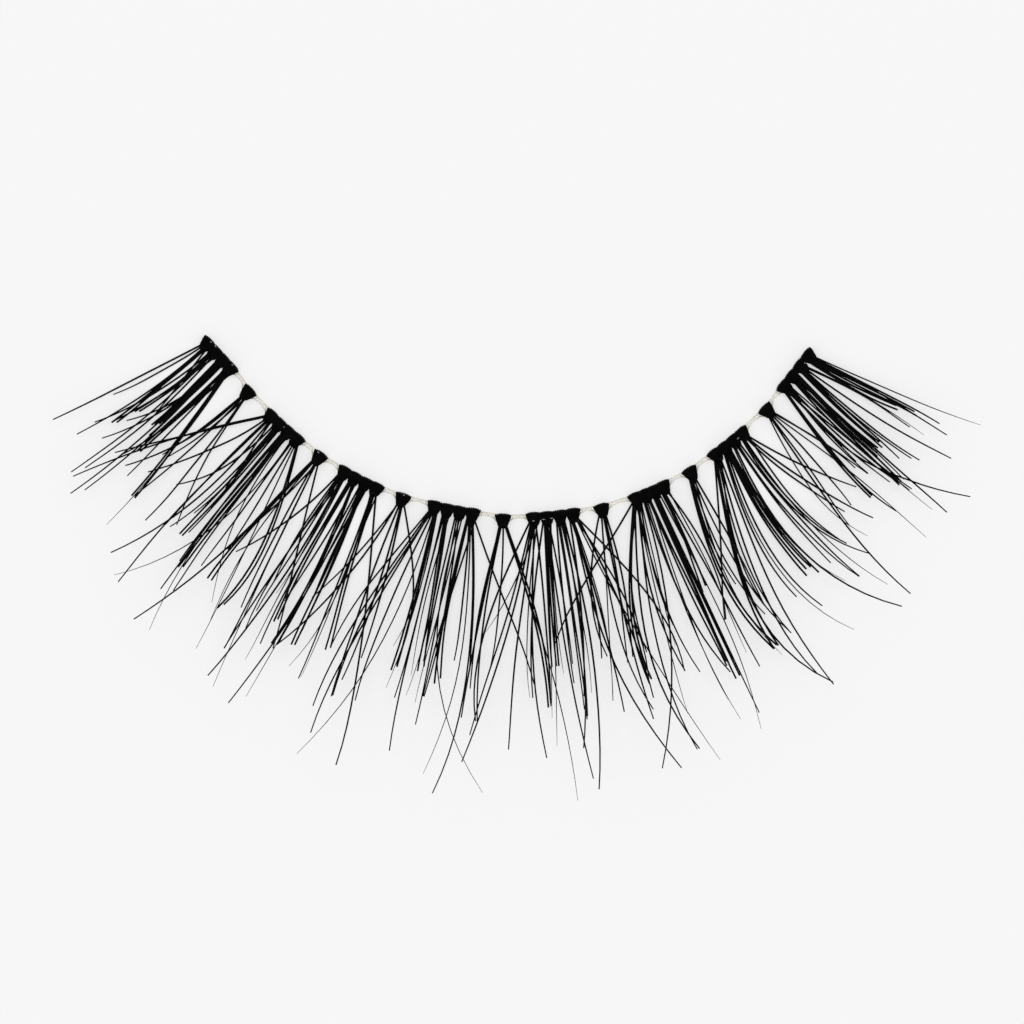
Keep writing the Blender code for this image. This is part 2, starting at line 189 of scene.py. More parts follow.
# A cluster stands at a share of its arm of the band, left of the low point below 0 and right of it
# above. Its knots are a share of the knot pitch apart, and slipped out from the drawn arc by another
# share of it. Each knot holds its own locks, from left to right.
Cluster = namedtuple("Cluster", "place pitch set_out knots")

CLUSTERS = {
    "knot_bar_1": Cluster(-0.940, 1.00, -0.08, (
        (Lock(-0.110, -0.217, 0.755), Lock(-0.050, -0.120, 0.480), Lock(-0.025, -0.097, 0.720),
         Lock(-0.005, -0.025, 0.570, 2), Lock(0.042, 0.075, 0.400)),
        (Lock(-0.042, -0.133, 0.625), Lock(-0.007, -0.039, 0.460, 2), Lock(0.003, -0.037, 0.853),
         Lock(0.022, -0.007, 0.795), Lock(-0.024, -0.080, 0.570)),
        (Lock(-0.006, -0.110, 0.650), Lock(0.008, 0.008, 0.445, 3), Lock(0.012, -0.018, 0.920),
         Lock(0.030, 0.014, 0.863), Lock(-0.008, -0.090, 0.515), Lock(0.020, 0.022, 0.485)),
        (Lock(0.005, -0.045, 0.640), Lock(0.000, -0.003, 0.570, 2), Lock(0.028, 0.041, 0.680),
         Lock(0.075, 0.133, 0.725, 2), Lock(0.095, 0.145, 0.895, 0.6), Lock(0.000, -0.005, 0.520, 2)),
    )),
    "single_knot_1": Cluster(-0.815, 1.00, 0.20, (
        (Lock(-0.022, -0.130, 0.655), Lock(-0.020, -0.050, 0.500), Lock(0.013, -0.002, 0.720),
         Lock(0.070, 0.102, 0.755), Lock(0.085, 0.180, 0.670), Lock(0.000, -0.030, 0.500)),
    )),
    "knot_bar_2": Cluster(-0.681, 1.02, 0.13, (
        (Lock(-0.232, -0.400, 0.860), Lock(-0.182, -0.350, 0.650), Lock(-0.070, -0.188, 0.600),
         Lock(-0.003, 0.008, 0.700), Lock(0.000, 0.022, 1.034), Lock(0.018, -0.046, 0.966),
         Lock(0.040, 0.070, 0.400)),
        (Lock(-0.030, -0.110, 0.545), Lock(0.000, -0.030, 0.696), Lock(0.013, 0.015, 0.690, 2),
         Lock(0.010, -0.006, 0.578), Lock(0.022, 0.024, 0.658)),
        (Lock(0.001, 0.024, 0.930), Lock(-0.002, 0.010, 0.780), Lock(0.015, 0.025, 0.804, 2),
         Lock(0.027, 0.049, 0.900), Lock(0.055, 0.160, 0.840, 0.6), Lock(0.005, 0.070, 1.104, 0.6)),
        (Lock(-0.020, -0.149, 1.026, 0.6), Lock(0.009, 0.023, 0.735), Lock(0.034, 0.055, 0.604),
         Lock(0.097, 0.147, 1.048, 0.6), Lock(0.130, 0.137, 0.844, 2)),
    )),
    "single_knot_2": Cluster(-0.560, 1.00, 0.20, (
        (Lock(-0.072, -0.154, 1.110), Lock(-0.050, -0.060, 0.762, 2), Lock(-0.026, 0.008, 0.905, 0.6),
         Lock(0.028, 0.066, 0.784), Lock(0.056, 0.086, 0.978), Lock(0.063, 0.115, 1.150, 0.6),
         Lock(0.128, 0.204, 0.872), Lock(-0.034, -0.076, 0.604)),
    )),
    "knot_bar_3": Cluster(-0.435, 1.04, 0.13, (
        (Lock(-0.080, -0.180, 0.590), Lock(-0.030, -0.023, 0.620), Lock(-0.033, -0.047, 0.978),
         Lock(-0.015, -0.022, 0.760), Lock(-0.003, -0.047, 1.120), Lock(0.012, 0.016, 0.974, 0.6),
         Lock(0.013, 0.002, 0.650, 0.6), Lock(-0.037, -0.022, 0.850)),
        (Lock(-0.022, -0.017, 0.880), Lock(-0.018, -0.010, 0.764, 2), Lock(0.030, 0.020, 0.855, 2),
         Lock(0.003, -0.015, 0.660)),
        (Lock(-0.020, -0.022, 0.840), Lock(-0.017, -0.067, 1.180), Lock(0.015, 0.019, 0.820, 2),
         Lock(0.021, 0.025, 0.740), Lock(-0.020, -0.035, 1.120, 0.6), Lock(0.001, 0.010, 0.590)),
        (Lock(0.030, -0.020, 0.912, 0.6), Lock(0.017, 0.016, 0.945), Lock(0.032, 0.062, 0.780, 2),
         Lock(0.148, 0.187, 1.250), Lock(0.018, 0.026, 0.934, 0.6)),
    )),
    "single_knot_3": Cluster(-0.313, 1.00, 0.12, (
        (Lock(-0.090, -0.205, 0.850), Lock(-0.085, -0.170, 0.590), Lock(-0.013, 0.000, 0.966),
         Lock(0.022, 0.008, 0.880), Lock(0.037, 0.042, 0.760), Lock(0.140, 0.150, 0.750)),
    )),
    "knot_bar_4": Cluster(-0.174, 1.14, -0.04, (
        (Lock(-0.142, -0.205, 0.750), Lock(-0.145, -0.188, 1.034), Lock(-0.128, -0.169, 1.150),
         Lock(-0.124, -0.150, 0.960), Lock(-0.070, -0.082, 0.950), Lock(-0.058, -0.182, 1.260, 0.6),
         Lock(0.008, -0.002, 0.775, 2), Lock(0.018, -0.020, 0.670, 0.6), Lock(0.015, -0.012, 0.857, 0.6)),
        (Lock(-0.018, -0.037, 0.892), Lock(-0.023, -0.016, 1.127), Lock(0.012, 0.023, 0.753, 2),
         Lock(0.017, -0.005, 0.870, 0.6), Lock(-0.012, -0.005, 0.780, 0.6)),
        (Lock(-0.024, -0.034, 0.705), Lock(-0.010, -0.022, 0.990), Lock(0.008, -0.010, 0.860),
         Lock(0.002, 0.170, 1.257, 0.6), Lock(-0.017, -0.033, 0.895, 0.6)),
        (Lock(-0.037, -0.040, 0.795, 2), Lock(0.010, 0.003, 0.680), Lock(0.025, -0.033, 1.200, 0.6),
         Lock(0.050, -0.007, 1.280), Lock(0.043, 0.055, 0.730), Lock(0.156, 0.255, 0.770),
         Lock(-0.047, -0.075, 0.860)),
    )),
    "single_knot_4": Cluster(-0.041, 1.00, 0.24, (
        (Lock(-0.062, -0.092, 0.930), Lock(-0.062, -0.077, 0.797), Lock(-0.050, -0.045, 0.950),
         Lock(0.003, -0.021, 0.700), Lock(0.122, 0.159, 0.875, 2), Lock(0.160, 0.212, 1.300, 0.6)),
    )),
    "knot_bar_5": Cluster(0.099, 1.16, 0.10, (
        (Lock(-0.170, -0.187, 0.940), Lock(-0.117, -0.202, 1.005), Lock(-0.112, -0.217, 1.127),
         Lock(-0.067, -0.098, 1.060), Lock(-0.022, 0.002, 1.100), Lock(0.023, 0.022, 0.870),
         Lock(-0.076, -0.181, 0.540, 0.6), Lock(-0.039, -0.033, 0.830, 0.6)),
        (Lock(-0.072, -0.085, 0.830), Lock(-0.017, -0.030, 0.924, 0.6),
         Lock(-0.010, -0.009, 0.695, 3), Lock(0.025, 0.060, 1.210), Lock(0.032, 0.040, 0.690),
         Lock(-0.010, -0.023, 1.050, 0.6), Lock(-0.001, 0.012, 0.730, 0.6)),
        (Lock(-0.020, -0.018, 0.777), Lock(0.004, 0.000, 0.900), Lock(0.008, 0.005, 0.944),
         Lock(0.030, 0.029, 0.830, 0.6), Lock(0.024, 0.008, 0.930), Lock(0.020, -0.012, 1.070),
         Lock(0.046, 0.011, 1.260)),
        (Lock(-0.019, -0.053, 0.840), Lock(0.027, 0.017, 0.684), Lock(0.044, 0.051, 0.937),
         Lock(0.046, 0.027, 0.880, 0.6), Lock(0.043, 0.161, 1.240), Lock(0.130, 0.140, 0.840),
         Lock(0.150, 0.262, 1.258, 0.6), Lock(0.204, 0.248, 0.830), Lock(0.110, 0.138, 0.905)),
    )),
    "single_knot_5": Cluster(0.237, 1.00, 0.22, (
        (Lock(-0.104, -0.095, 0.680), Lock(-0.059, -0.104, 0.880, 0.6), Lock(-0.047, 0.005, 0.956),
         Lock(-0.014, -0.003, 0.997), Lock(-0.010, -0.038, 0.725), Lock(0.009, -0.020, 0.705)),
    )),
    "knot_bar_6": Cluster(0.380, 0.86, 0.16, (
        (Lock(-0.267, -0.412, 0.590), Lock(-0.131, -0.147, 0.840, 2), Lock(-0.118, -0.072, 1.180),
         Lock(-0.052, -0.069, 1.016, 0.6), Lock(-0.030, -0.002, 0.857), Lock(-0.120, -0.132, 0.700),
         Lock(-0.064, -0.039, 0.830), Lock(-0.095, -0.072, 1.180), Lock(-0.032, -0.030, 0.620),
         Lock(-0.027, -0.042, 0.710, 0.6)),
        (Lock(-0.082, -0.215, 1.220), Lock(-0.015, 0.035, 0.907), Lock(-0.017, 0.013, 1.120, 0.6),
         Lock(0.020, 0.035, 0.875, 2), Lock(-0.015, 0.001, 1.020, 0.6)),
        (Lock(-0.003, 0.000, 0.870), Lock(0.002, 0.010, 0.944, 2), Lock(0.012, 0.020, 1.125),
         Lock(0.034, 0.010, 1.195, 0.6)),
        (Lock(-0.005, -0.020, 0.530, 2), Lock(0.022, 0.032, 0.940), Lock(0.043, 0.002, 0.685),
         Lock(0.022, 0.015, 0.860, 0.6)),
    )),
    "single_knot_6": Cluster(0.508, 1.00, 0.18, (
        (Lock(-0.080, -0.041, 0.897, 2), Lock(-0.055, -0.058, 0.563), Lock(-0.048, -0.021, 0.744),
         Lock(-0.023, 0.017, 0.875), Lock(0.002, -0.008, 0.710), Lock(-0.073, -0.036, 0.940, 0.6)),
    )),
    "knot_bar_7": Cluster(0.643, 1.00, 0.02, (
        (Lock(-0.165, -0.273, 0.685), Lock(-0.147, -0.178, 0.900, 2), Lock(-0.170, -0.092, 1.160),
         Lock(-0.120, -0.120, 0.875), Lock(-0.122, -0.115, 1.090), Lock(-0.094, -0.098, 1.170),
         Lock(-0.123, -0.145, 0.710)),
        (Lock(-0.097, -0.100, 0.752), Lock(-0.098, -0.019, 1.020, 0.6), Lock(-0.083, -0.053, 0.850),
         Lock(-0.037, -0.027, 0.700, 3), Lock(-0.020, 0.005, 0.720, 2)),
        (Lock(-0.062, -0.006, 0.824, 0.6), Lock(-0.054, 0.066, 1.074), Lock(-0.018, -0.007, 0.720),
         Lock(-0.013, 0.036, 0.848), Lock(0.003, 0.036, 0.848)),
        (Lock(-0.032, 0.047, 0.800), Lock(-0.026, 0.020, 0.700), Lock(-0.025, 0.029, 0.960, 0.6),
         Lock(0.033, 0.087, 0.590), Lock(0.060, 0.135, 0.700), Lock(0.085, 0.169, 0.550),
         Lock(-0.018, 0.010, 0.675)),
    )),
    "single_knot_7": Cluster(0.787, 1.00, 0.08, (
        (Lock(-0.090, -0.073, 0.740, 0.6), Lock(-0.085, -0.096, 1.058), Lock(-0.050, -0.085, 0.650),
         Lock(-0.013, -0.040, 0.590), Lock(0.040, 0.045, 0.934, 0.6), Lock(0.053, 0.075, 0.550),
         Lock(0.047, 0.063, 0.490)),
    )),
    "knot_bar_8": Cluster(0.926, 1.16, -0.10, (
        (Lock(-0.075, -0.105, 0.630, 2), Lock(-0.083, -0.087, 0.756), Lock(-0.028, -0.050, 0.475),
         Lock(-0.030, -0.035, 0.650), Lock(-0.008, -0.005, 0.745), Lock(-0.030, 0.119, 0.972),
         Lock(-0.045, -0.055, 0.550), Lock(-0.023, -0.015, 0.683), Lock(-0.010, -0.018, 0.875, 0.6)),
        (Lock(-0.060, -0.070, 0.740), Lock(-0.044, -0.072, 0.690, 2), Lock(-0.023, -0.055, 0.690),
         Lock(-0.025, -0.059, 0.933), Lock(-0.021, -0.036, 0.535, 3)),
        (Lock(-0.038, -0.058, 0.527, 2), Lock(-0.027, -0.055, 0.617), Lock(-0.027, -0.020, 0.660),
         Lock(-0.017, -0.005, 0.693), Lock(0.030, 0.087, 0.800), Lock(0.063, 0.090, 0.568),
         Lock(0.070, 0.098, 0.640, 0.6)),
        (Lock(0.017, 0.063, 0.477, 2), Lock(0.046, 0.092, 0.560, 2), Lock(0.066, 0.104, 0.720),
         Lock(0.070, 0.123, 0.663), Lock(0.110, 0.230, 0.813, 0.6)),
    )),
}


def a_length(name, description, default):
    """A length that can be set in the panel."""
    return bpy.props.FloatProperty(
        name=name, description=description, default=default, unit="LENGTH", precision=6)


def a_number(name, description, default, least):
    """A whole number that can be set in the panel."""
    return bpy.props.IntProperty(name=name, description=description, default=default, min=least)


def a_colour(name, description, default):
    """A colour that can be set in the panel."""
    return bpy.props.FloatVectorProperty(
        name=name, description=description, default=default, subtype="COLOR", size=4)


class LashSizes(bpy.types.PropertyGroup):
    """Sizes of the hairs, the knots and the threads."""
    lash_length: a_length("Lash length", "Length that each hair's reach is a share of", 0.010)
    hair_width: a_length("Hair width", "Width of one hair near its root", 0.000097)
    curl_start: a_length("Curl start", "How far out from the band the hairs stay flat", 0.0020)
    curl_radius: a_length("Curl radius", "Radius of the circle that the hairs curl up along", 0.0140)
    hair_points: a_number("Hair points", "Points along each hair", 15, 4)
    hair_sides: a_number("Hair sides", "Sides round each hair", 5, 3)
    knot_width: a_length("Knot width", "Width of one knot along the band", 0.00070)
    knot_pitch: a_length("Knot pitch", "Distance between two knots of a row", 0.00050)
    neck_width: a_length("Neck width", "Width of the bundle that leaves a knot", 0.00028)
    root_spread: a_length("Root spread", "Width over which the hairs of a knot leave its neck", 0.00038)
    knot_loops: a_number("Loops in a knot", "Hair loops side by side round the threads", 9, 2)
    loop_points: a_number("Loop points", "Points round each hair loop", 16, 6)
    base_thread_width: a_length("Base thread width", "Width of the thread through the knots", 0.00008)
    tie_thread_width: a_length("Tie thread width", "Width of the thread that locks the knots", 0.00006)
    thread_sides: a_number("Thread sides", "Sides round the two threads", 8, 3)
    tie_turn_sides: a_number("Tie turn sides", "Sides round the turns of thread", 6, 3)


class LashColours(bpy.types.PropertyGroup):
    """Colours of the hair, the threads, the glue specks' painted glint white and the floor."""
    hair: a_colour("Hair", "Deepest black of the hair", (0.0006, 0.0005, 0.0005, 1.0))
    hair_tint: a_colour(
        "Hair tint", "Brown-black that shows on some hairs", (0.0060, 0.0038, 0.0032, 1.0))
    thread: a_colour("Thread", "Cream of the clear threads", (0.95, 0.91, 0.82, 1.0))
    # The glue specks' white is a painted highlight: it stands in for glints on the knots.
    glue_glint_white: a_colour("Glue glint white", "White of the specks, painted as glints", (0.86, 0.86, 0.84, 1.0))
    floor: a_colour("Floor", "Pale grey of the floor", (0.86, 0.86, 0.86, 1.0))


def arm_point(distance, radius, sweep):
    """Where a distance along one arm of the band comes to, and the band's heading there."""
    heading = min(distance, radius * sweep) / radius
    over = max(distance - radius * sweep, 0.0)
    x = radius * math.sin(heading) + over * math.cos(heading)
    y = radius * (1.0 - math.cos(heading)) + over * math.sin(heading)
    return x, y, heading


def band_place(along):
    """The band's point at a distance along it from its low point, and its heading there."""
    if along < 0.0:
        x, y, heading = arm_point(-along, LEFT_RADIUS, LEFT_SWEEP)
        return -x, y, -heading
    return arm_point(along, RIGHT_RADIUS, RIGHT_SWEEP)


def band_point(along, out, height):
    """A point at a distance along the band, out from it towards the tips, and up."""
    x, y, heading = band_place(along)
    return BAND_LOW_POINT + Vector((x + out * math.sin(heading), y - out * math.cos(heading), height))


def knot_places(cluster, sizes):
    """Where the knots of a cluster stand, along the band from its low point."""
    arm = LEFT_ARM if cluster.place < 0.0 else RIGHT_ARM
    pitch = cluster.pitch * sizes.knot_pitch
    first = cluster.place * arm - pitch * (len(cluster.knots) - 1) / 2
    return [first + pitch * number for number in range(len(cluster.knots))]


def neck_height(name):
    """How high the necks of a cluster's knots are."""
    tier = list(CLUSTERS).index(name) % TIERS
    return TIER_FOOT + tier * TIER_PITCH


def curl(out, sizes):
    """How high the hairs have curled at a distance from the band."""
    along = min(max(out - sizes.curl_start, 0.0), sizes.curl_radius)
    return sizes.curl_radius - math.sqrt(sizes.curl_radius ** 2 - along ** 2)


class Wiring:
    """A tree of nodes while it is being wired up."""

    def add(self, kind, links=None, **settings):
        """Add a node, with its settings and its inputs by name or number, and return its first output."""
        node = self.tree.nodes.new(kind)
        for setting, value in settings.items():
            setattr(node, setting, value)
        self.fill(node, links or {})
        return node.outputs[0]

    def fill(self, node, links):
        """Link or set a node's inputs."""
        for socket, value in links.items():
            if isinstance(value, bpy.types.NodeSocket):
                self.tree.links.new(value, node.inputs[socket])
            else:
                node.inputs[socket].default_value = value


class Tree(Wiring):
    """A Geometry Nodes tree while it is being wired up."""

    def __init__(self, name):
        self.tree = bpy.data.node_groups.new(name, "GeometryNodeTree")
        self.tree.is_modifier = True
        for way in ("INPUT", "OUTPUT"):
            self.tree.interface.new_socket(
                name="Geometry", in_out=way, socket_type="NodeSocketGeometry")
        self.inputs = self.tree.nodes.new("NodeGroupInput")
        self.geometry = self.inputs.outputs["Geometry"]

    def input(self, name, kind="Float"):
        """Add a named input and return its socket."""
        self.tree.interface.new_socket(name=name, in_out="INPUT", socket_type="NodeSocket" + kind)
        return self.inputs.outputs[name]

    def read(self, name):
        """A number that the points carry."""
        return self.add("GeometryNodeInputNamedAttribute", {"Name": name}, data_type="FLOAT")

    def math(self, operation, first, second=0.0, third=0.0):
        """The result of one sum on numbers."""
        return self.add("ShaderNodeMath", {0: first, 1: second, 2: third}, operation=operation)

    def between(self, value, low, high, **settings):
        """How far a value has come from low to high, from 0 to 1."""
        return self.add("ShaderNodeMapRange", {"Value": value, "From Min": low, "From Max": high}, **settings)

    def vector(self, **parts):
        """A vector from its X, Y and Z."""
        return self.add("ShaderNodeCombineXYZ", parts)

    def squared_off(self, value, power):
        """A sine or cosine whose circle is squared off: its size to a power, with its sign kept."""
        size = self.math("POWER", self.math("ABSOLUTE", value), power)
        return self.math("MULTIPLY", size, self.math("SIGN", value))

    def swept(self, lines, radius, sides, links):
        """Round strands along lines."""
        profile = self.add("GeometryNodeCurvePrimitiveCircle", {"Resolution": sides, "Radius": radius})
        return self.add("GeometryNodeCurveToMesh", {"Curve": lines, "Profile Curve": profile, **links})

    def finish(self, geometry, material):
        """End the tree with smooth shading, real geometry and its material."""
        smooth = self.add("GeometryNodeSetShadeSmooth", {"Geometry": geometry})
        real = self.add("GeometryNodeRealizeInstances", {"Geometry": smooth})
        painted = self.add("GeometryNodeSetMaterial", {"Geometry": real, "Material": material})
        self.fill(self.tree.nodes.new("NodeGroupOutput"), {"Geometry": painted})
        return self.tree


def strand_tree():
    """Sweeps a round strand along each line of a mesh, as thick as the line's points say."""
    tree = Tree("strands")
    radius = tree.input("Radius")
    sides = tree.input("Sides", "Int")
    material = tree.input("Material", "Material")
    lines = tree.add("GeometryNodeMeshToCurve", {"Mesh": tree.geometry})
    mesh = tree.swept(lines, radius, sides, {"Scale": tree.read("thickness"), "Fill Caps": True})
    return tree.finish(mesh, material)


def knot_tree():
    """Winds each knot: hair loops side by side round the threads, drawn together at the neck."""
    tree = Tree("wound_knots")
    loops = tree.input("Loops", "Int")
    points = tree.input("Loop Points", "Int")
    knot_width = tree.input("Knot Width")
    neck_width = tree.input("Neck Width")
    height = tree.input("Knot Height")
    back = tree.input("Back")
    front = tree.input("Front")
    rounding = tree.input("Corner Rounding")
    radius = tree.input("Hair Radius")
    sides = tree.input("Sides", "Int")
    unevenness = tree.input("Unevenness")
    material = tree.input("Material", "Material")
    half_height = tree.math("MULTIPLY", height, 0.5)

    # One knot's loops: rings in a row from -0.5 to 0.5 along Z, which is their share of the knot's width
    ring = tree.add("GeometryNodeCurvePrimitiveCircle", {"Resolution": points, "Radius": 1.0})
    step = tree.math("DIVIDE", 1.0, tree.math("SUBTRACT", loops, 1.0))
    row = tree.add("GeometryNodeMeshLine", {
        "Count": loops, "Start Location": (0.0, 0.0, -0.5), "Offset": tree.vector(Z=step)})
    rings = tree.add("GeometryNodeInstanceOnPoints", {"Points": row, "Instance": ring})
    rings = tree.add("GeometryNodeRealizeInstances", {"Geometry": rings})
    place = tree.add("GeometryNodeInputPosition")
    turn_out, turn_up, share = tree.add("ShaderNodeSeparateXYZ", {"Vector": place}).node.outputs

    # The rings bent to the knot's form: narrower and flatter towards the neck
    narrowing = tree.between(turn_out, -0.6, 0.9)
    drawn = tree.between(turn_out, -0.1, 1.0, interpolation_type="SMOOTHSTEP")
    roundness = tree.math("SQRT", tree.math(
        "MULTIPLY_ADD", tree.math("MULTIPLY", share, share), -OUTER_LOWERING, 1.0))
    width = tree.math("MULTIPLY_ADD", narrowing, tree.math("SUBTRACT", neck_width, knot_width), knot_width)
    half_length = tree.math("MULTIPLY", tree.math("ADD", front, back), 0.5)
    middle_out = tree.math("MULTIPLY", tree.math("SUBTRACT", front, back), 0.5)
    side = tree.math("POWER", tree.math("ABSOLUTE", tree.math("MULTIPLY", share, 2.0)), 3.0)
    corner = tree.math("MULTIPLY", side, tree.math("MULTIPLY_ADD", narrowing, -1.0, 1.0))
    middle_out = tree.math("MULTIPLY_ADD", corner, rounding, middle_out)
    out = tree.math("MULTIPLY_ADD", tree.squared_off(turn_out, SQUARED_OUT), half_length, middle_out)
    half_rise = tree.math("MULTIPLY_ADD", unevenness, -0.25, tree.math("SUBTRACT", half_height, radius))
    rise = tree.math("MULTIPLY", tree.squared_off(turn_up, SQUARED_UP), half_rise)
    flattened = tree.math("MULTIPLY", rise, tree.math("MULTIPLY_ADD", drawn, -NECK_FLATTENING, 1.0))
    bent = tree.vector(
        X=tree.math("MULTIPLY", share, tree.math("SUBTRACT", width, radius)),
        Y=tree.math("MULTIPLY", out, -1.0),
        Z=tree.math("MULTIPLY_ADD", flattened, roundness, half_height))
    rings = tree.add("GeometryNodeStoreNamedAttribute", {
        "Geometry": rings, "Name": "drawn", "Value": drawn}, data_type="FLOAT", domain="POINT")
    knot_loops = tree.add("GeometryNodeSetPosition", {"Geometry": rings, "Position": bent})

    # The knots, each turned to the band's heading, with its neck lifted to its hairs
    turned = tree.add("FunctionNodeEulerToRotation", {"Euler": tree.vector(Z=tree.read("heading"))})
    knots = tree.add("GeometryNodeInstanceOnPoints", {
        "Points": tree.geometry, "Instance": knot_loops, "Rotation": turned})
    knots = tree.add("GeometryNodeRealizeInstances", {"Geometry": knots})
    lift = tree.math("MULTIPLY", tree.read("neck_lift"), tree.read("drawn"))
    noise = tree.add("ShaderNodeTexNoise", {"Scale": UNEVENNESS_SCALE, "Detail": 1.0}).node.outputs["Color"]
    noise = tree.add("ShaderNodeVectorMath", {0: noise, 1: (0.5, 0.5, 0.5)}, operation="SUBTRACT")
    noise = tree.add("ShaderNodeVectorMath", {0: noise, "Scale": unevenness}, operation="SCALE")
    moved = tree.add("ShaderNodeVectorMath", {0: tree.vector(Z=lift), 1: noise}, operation="ADD")
    knots = tree.add("GeometryNodeSetPosition", {"Geometry": knots, "Offset": moved})
    return tree.finish(tree.swept(knots, radius, sides, {"Fill Caps": False}), material)


def line_mesh(name, lines):
    """A mesh of open lines. Each line is a list of points with their thickness, and a shade of its own."""
    mesh = bpy.data.meshes.new(name)
    places, thicknesses, shades, edges = [], [], [], []
    for shade, line in lines:
        first = len(places)
        edges += [(first + number, first + number + 1) for number in range(len(line) - 1)]
        for place, thickness in line:
            places.append(place)
            thicknesses.append(thickness)
            shades.append(shade)
    mesh.from_pydata(places, edges, [])
    for title, values in (("thickness", thicknesses), ("shade", shades)):
        mesh.attributes.new(title, "FLOAT", "POINT").data.foreach_set("value", values)
    return mesh


def made_by_tree(name, mesh, tree, values):
    """Run a tree on a mesh and return its result as a plain mesh object."""
    source = bpy.data.objects.new(name + "_source", mesh)
    bpy.context.scene.collection.objects.link(source)
    modifier = source.modifiers.new(tree.name, "NODES")
    modifier.node_group = tree
    sockets = {socket.name: socket.identifier for socket in tree.interface.items_tree
               if socket.in_out == "INPUT"}
    for title, value in values.items():
        modifier[sockets[title]] = value
    bpy.context.view_layer.update()
    depsgraph = bpy.context.evaluated_depsgraph_get()
    result = bpy.data.meshes.new_from_object(source.evaluated_get(depsgraph))
    bpy.data.objects.remove(source)
    if not result.polygons:
        raise RuntimeError(name + " came out empty")
    thing = bpy.data.objects.new(name, result)
    bpy.context.scene.collection.objects.link(thing)
    result.name = name
    return thing


def strands(name, lines, tree, width, sides, material):
    """Round strands along lines, as a mesh object."""
    return made_by_tree(name, line_mesh(name + "_lines", lines), tree, {
        "Radius": width / 2, "Sides": sides, "Material": material})


class Shading(Wiring):
    """A procedural material while it is being wired up."""

    def __init__(self, name):
        self.material = bpy.data.materials.new(name)
        self.material.use_nodes = True
        self.tree = self.material.node_tree
        self.coordinates = self.tree.nodes.new("ShaderNodeTexCoord").outputs["Object"]

    def set(self, **values):
        """Set or link the shader's own sockets."""
        links = {title.replace("_", " "): value for title, value in values.items()}
        self.fill(self.tree.nodes["Principled BSDF"], links)

    def noise(self, scale, detail=2.0):
        """Noise on the piece's own coordinates, from 0 to 1."""
        return self.add("ShaderNodeTexNoise", {
            "Vector": self.coordinates, "Scale": scale, "Detail": detail})

    def spots(self, scale, low, high, least=0.0, most=1.0):
        """Noise whose values from low to high are spread from least to most."""
        return self.add("ShaderNodeMapRange", {
            "Value": self.noise(scale), "From Min": low, "From Max": high,
            "To Min": least, "To Max": most})

    def times_attribute(self, value, name):
        """A value times one that the piece's points carry."""
        carried = self.add("ShaderNodeAttribute", attribute_name=name).node.outputs["Fac"]
        return self.add("ShaderNodeMath", {0: value, 1: carried}, operation="MULTIPLY")

    def colour(self, share, low, high):
        """Base colour between two colours."""
        node = self.add("ShaderNodeMix", {"Factor": share}, data_type="RGBA").node
        first, second = (socket for socket in node.inputs if socket.type == "RGBA")
        first.default_value, second.default_value = low, high
        self.set(Base_Color=next(socket for socket in node.outputs if socket.type == "RGBA"))

    def roughness(self, scale, least, most):
        """Roughness that varies over the piece."""
        self.set(Roughness=self.spots(scale, 0.3, 0.7, least, most))

    def bump(self, scale, detail, depth, strength):
        """Fine relief."""
        self.set(Normal=self.add("ShaderNodeBump", {
            "Height": self.noise(scale, detail), "Distance": depth, "Strength": strength}))


def darker(colour):
    """A colour a little darker."""
    return [0.88 * value for value in colour[:3]] + [1.0]


def lash_hair(colours):
    """Black hair: each hair its own depth of black, faintly brown in places, with fine scales."""
    paint = Shading("lash_hair")
    patches = paint.spots(scale=700.0, low=0.35, high=0.75)
    paint.colour(paint.times_attribute(patches, "shade"), colours.hair, colours.hair_tint)
    paint.roughness(scale=2600.0, least=0.34, most=0.52)
    paint.bump(scale=30000.0, detail=1.0, depth=0.000004, strength=0.35)
    paint.set(Specular_IOR_Level=0.10)
    return paint.material


def wound_hair(colours):
    """The hair of the knots, pressed together and a little duller than the lashes."""
    paint = Shading("wound_hair")
    paint.colour(paint.spots(scale=1800.0, low=0.4, high=0.8, most=0.8), colours.hair, colours.hair_tint)
    paint.roughness(scale=5200.0, least=0.38, most=0.62)
    paint.bump(scale=24000.0, detail=2.0, depth=0.000006, strength=0.45)
    paint.set(Specular_IOR_Level=0.09)
    return paint.material


def clear_nylon(colours):
    """Fine cream nylon thread, half see-through and faintly spotted."""
    paint = Shading("clear_nylon")
    paint.colour(paint.spots(scale=2400.0, low=0.35, high=0.7), colours.thread, darker(colours.thread))
    paint.roughness(scale=6000.0, least=0.16, most=0.34)
    paint.bump(scale=16000.0, detail=1.0, depth=0.000003, strength=0.25)
    paint.set(IOR=1.24, Transmission_Weight=0.90)
    return paint.material


def glue_with_painted_glints(colours):
    """Specks of glue: whitish as painted highlights that stand in for glints, glossy and slightly uneven."""
    paint = Shading("glue_with_painted_glints")
    # The whitish base colour is a painted highlight, standing in for glints on the knots.
    paint.colour(paint.spots(scale=9000.0, low=0.35, high=0.7), colours.glue_glint_white, darker(colours.glue_glint_white))
    paint.roughness(scale=12000.0, least=0.10, most=0.30)
    paint.bump(scale=20000.0, detail=1.0, depth=0.000004, strength=0.3)
    paint.set(IOR=1.47, Transmission_Weight=0.25)
    return paint.material


